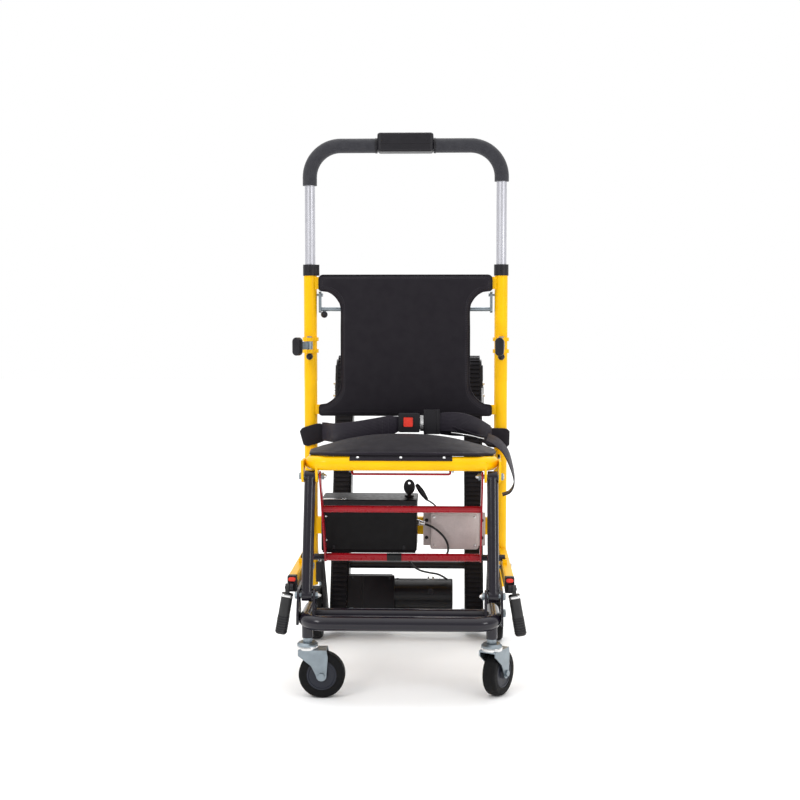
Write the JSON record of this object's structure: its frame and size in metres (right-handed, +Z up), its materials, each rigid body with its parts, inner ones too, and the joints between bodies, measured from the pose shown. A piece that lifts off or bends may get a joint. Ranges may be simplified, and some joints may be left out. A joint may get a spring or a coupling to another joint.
{
  "type": "stair chair",
  "caption": "Powered folding stair chair with a telescopic push handle, fabric seat and back, caster base, rear track unit, carry arms and battery box.",
  "frame": {"origin": "on the floor under the middle of the chair's bounding box", "axes": "+X to the viewer's right when facing the chair's front, -Y towards the chair's front, +Z up"},
  "size_m": [0.5526, 0.8615, 1.261],
  "materials": {
    "yellow_paint": "gloss powder coat",
    "red_paint": "gloss powder coat",
    "gunmetal_paint": "satin powder coat",
    "black_paint": "satin powder coat",
    "bright_steel": "zinc plated",
    "handle_aluminium": "satin anodised",
    "controller_aluminium": "bead blasted",
    "foam": "matt closed-cell foam",
    "black_plastic": "fine moulded texture",
    "red_plastic": "gloss",
    "black_fabric": "coated nylon",
    "webbing": "woven webbing",
    "caster_tyre": "smooth rubber",
    "track_rubber": "ribbed rubber",
    "cable_jacket": "smooth PVC",
    "motor_casing": "satin black enamel",
    "nylon": "moulded"
  },
  "bodies": {
    "frame": {"uprights": "yellow_paint", "frame_brackets": "yellow_paint", "carry_arms": "yellow_paint", "arm_end_caps": "black_plastic", "upright_collars": "black_plastic", "axle_brackets": "black_paint", "axle_and_bolts": "bright_steel", "component_bracket": "black_paint", "battery_box": "black_plastic", "battery_lid": "black_plastic", "controller_box": "controller_aluminium", "cables": "cable_jacket", "backrest_pad": "black_fabric", "side_bands": "webbing"},
    "push_handle": {"handle_tube": "handle_aluminium", "foam_grips": "foam", "control_box_lower": "black_plastic", "control_box_upper": "black_plastic"},
    "drive_rocker": {"drive_rocker": "black_plastic"},
    "power_button": {"power_button": "red_plastic"},
    "key": {"key": "black_plastic"},
    "latch_rod": {"latch_rod": "bright_steel"},
    "seat": {"seat_frame": "yellow_paint", "seat_clevises": "yellow_paint", "seat_bolts": "bright_steel", "seat_pad": "black_fabric", "belt_webbing": "webbing", "buckle_housing": "black_plastic", "belt_tongue": "black_plastic"},
    "buckle_button": {"buckle_button": "red_plastic"},
    "release_bar": {"release_bar": "red_paint"},
    "front_legs": {"front_legs": "gunmetal_paint"},
    "brace": {"brace_frame": "red_paint", "brace_stubs": "gunmetal_paint"},
    "base": {"base_frame": "gunmetal_paint", "base_side_plates": "gunmetal_paint", "base_bolts": "bright_steel"},
    "track": {"track_side_plates": "black_paint", "track_belt_left": "track_rubber", "track_belt_right": "track_rubber", "track_cross_tubes": "black_paint", "gearbox": "motor_casing", "motor": "motor_casing", "motor_lead": "cable_jacket"},
    "drive_shaft": {"drive_shaft": "nylon"},
    "idler_wheels": {"idler_wheels": "nylon"},
    "rear_wheel_left": {"rear_wheel_left": "caster_tyre"},
    "caster_left": {"caster_fork_left": "bright_steel"},
    "caster_wheel_left": {"caster_hub_left": "black_plastic", "caster_tyre_left": "caster_tyre"},
    "carry_grip_left": {"carry_grip_left": "black_plastic"},
    "carry_button_left": {"carry_button_left": "red_plastic"},
    "side_handle_left": {"side_handle_left": "bright_steel"},
    "rear_wheel_right": {"rear_wheel_right": "caster_tyre"},
    "caster_right": {"caster_fork_right": "bright_steel"},
    "caster_wheel_right": {"caster_hub_right": "black_plastic", "caster_tyre_right": "caster_tyre"},
    "carry_grip_right": {"carry_grip_right": "black_plastic"},
    "carry_button_right": {"carry_button_right": "red_plastic"},
    "side_handle_right": {"side_handle_right": "bright_steel"}
  },
  "joints": [
    {"name": "handle_slide", "type": "slide", "parent": "frame", "child": "push_handle", "axis": [0, 0, 1], "range_m": [-0.185, 0]},
    {"name": "rocker_tilt", "type": "hinge", "parent": "push_handle", "child": "drive_rocker", "pos_m": [0, 0.073, 1.248], "axis": [1, 0, 0], "range_deg": [-8, 8], "stiffness_Nm_per_rad": 0.3},
    {"name": "power_press", "type": "slide", "parent": "push_handle", "child": "power_button", "axis": [0, -1, 0], "range_m": [0, 0.0025], "stiffness_N_per_m": 300},
    {"name": "key_turn", "type": "hinge", "parent": "frame", "child": "key", "pos_m": [0.013, -0.083, 0.4], "axis": [0, 0, 1], "range_deg": [0, 90]},
    {"name": "latch_swing", "type": "hinge", "parent": "frame", "child": "latch_rod", "pos_m": [0, 0.048, 0.87], "axis": [1, 0, 0], "range_deg": [0, 60]},
    {"name": "seat_fold", "type": "hinge", "parent": "frame", "child": "seat", "pos_m": [0, -0.022, 0.478], "axis": [-1, 0, 0], "range_deg": [0, 80], "deforming": ["belt_webbing", "buckle_housing", "belt_tongue", "buckle_button"]},
    {"name": "base_fold", "type": "hinge", "parent": "frame", "child": "base", "pos_m": [0, -0.1, 0.227], "axis": [-1, 0, 0], "range_deg": [0, 80]},
    {"name": "leg_swing", "type": "hinge", "parent": "seat", "child": "front_legs", "pos_m": [0, -0.282, 0.465], "axis": [-1, 0, 0], "range_deg": [-80, 0]},
    {"name": "brace_swing", "type": "hinge", "parent": "seat", "child": "brace", "pos_m": [0, -0.282, 0.465], "axis": [-1, 0, 0], "range_deg": [-54, 0]},
    {"name": "release_pull", "type": "hinge", "parent": "seat", "child": "release_bar", "pos_m": [0, -0.272, 0.478], "axis": [1, 0, 0], "range_deg": [0, 30]},
    {"name": "buckle_press", "type": "slide", "parent": "seat", "child": "buckle_button", "axis": [0, 1, 0], "range_m": [0, 0.0025], "stiffness_N_per_m": 300},
    {"name": "track_fold", "type": "hinge", "parent": "frame", "child": "track", "pos_m": [0, 0.158, 0.052], "axis": [1, 0, 0], "range_deg": [0, 20], "deforming": ["motor_lead"]},
    {"name": "drive_turn", "type": "hinge", "parent": "track", "child": "drive_shaft", "pos_m": [0, 0.158, 0.052], "axis": [1, 0, 0], "continuous": true},
    {"name": "idler_turn", "type": "hinge", "parent": "track", "child": "idler_wheels", "pos_m": [0, 0.39237, 0.66899], "axis": [1, 0, 0], "continuous": true},
    {"name": "caster_swivel_left", "type": "hinge", "parent": "base", "child": "caster_left", "pos_m": [-0.198, -0.393, 0.11], "axis": [0, 0, 1], "continuous": true},
    {"name": "caster_roll_left", "type": "hinge", "parent": "caster_left", "child": "caster_wheel_left", "pos_m": [-0.167, -0.393, 0.05], "axis": [0, 1, 0], "continuous": true},
    {"name": "rear_roll_left", "type": "hinge", "parent": "frame", "child": "rear_wheel_left", "pos_m": [-0.228, 0.108, 0.066], "axis": [1, 0, 0], "continuous": true},
    {"name": "grip_fold_left", "type": "hinge", "parent": "frame", "child": "carry_grip_left", "pos_m": [-0.249, -0.325, 0.223], "axis": [-1, 0, 0], "range_deg": [0, 90]},
    {"name": "grip_button_left", "type": "slide", "parent": "frame", "child": "carry_button_left", "axis": [0, 1, 0], "range_m": [0, 0.0025], "stiffness_N_per_m": 300},
    {"name": "side_handle_swing_left", "type": "hinge", "parent": "frame", "child": "side_handle_left", "pos_m": [-0.234, 0.02, 0.752], "axis": [0, 0, -1], "range_deg": [-34, 60]},
    {"name": "caster_swivel_right", "type": "hinge", "parent": "base", "child": "caster_right", "pos_m": [0.198, -0.393, 0.11], "axis": [0, 0, 1], "continuous": true},
    {"name": "caster_roll_right", "type": "hinge", "parent": "caster_right", "child": "caster_wheel_right", "pos_m": [0.2135, -0.36615, 0.05], "axis": [-0.866, 0.5, 0], "continuous": true},
    {"name": "rear_roll_right", "type": "hinge", "parent": "frame", "child": "rear_wheel_right", "pos_m": [0.228, 0.108, 0.066], "axis": [1, 0, 0], "continuous": true},
    {"name": "grip_fold_right", "type": "hinge", "parent": "frame", "child": "carry_grip_right", "pos_m": [0.249, -0.325, 0.223], "axis": [-1, 0, 0], "range_deg": [0, 90]},
    {"name": "grip_button_right", "type": "slide", "parent": "frame", "child": "carry_button_right", "axis": [0, 1, 0], "range_m": [0, 0.0025], "stiffness_N_per_m": 300},
    {"name": "side_handle_swing_right", "type": "hinge", "parent": "frame", "child": "side_handle_right", "pos_m": [0.234, 0.02, 0.752], "axis": [0, 0, 1], "range_deg": [0, 90]}
  ],
  "couplings": [
    {"joint": "base_fold", "follows": "seat_fold", "ratio": 1},
    {"joint": "leg_swing", "follows": "seat_fold", "ratio": -1},
    {"joint": "brace_swing", "follows": "seat_fold", "ratio": -0.635},
    {"joint": "idler_turn", "follows": "drive_turn", "ratio": 1}
  ]
}
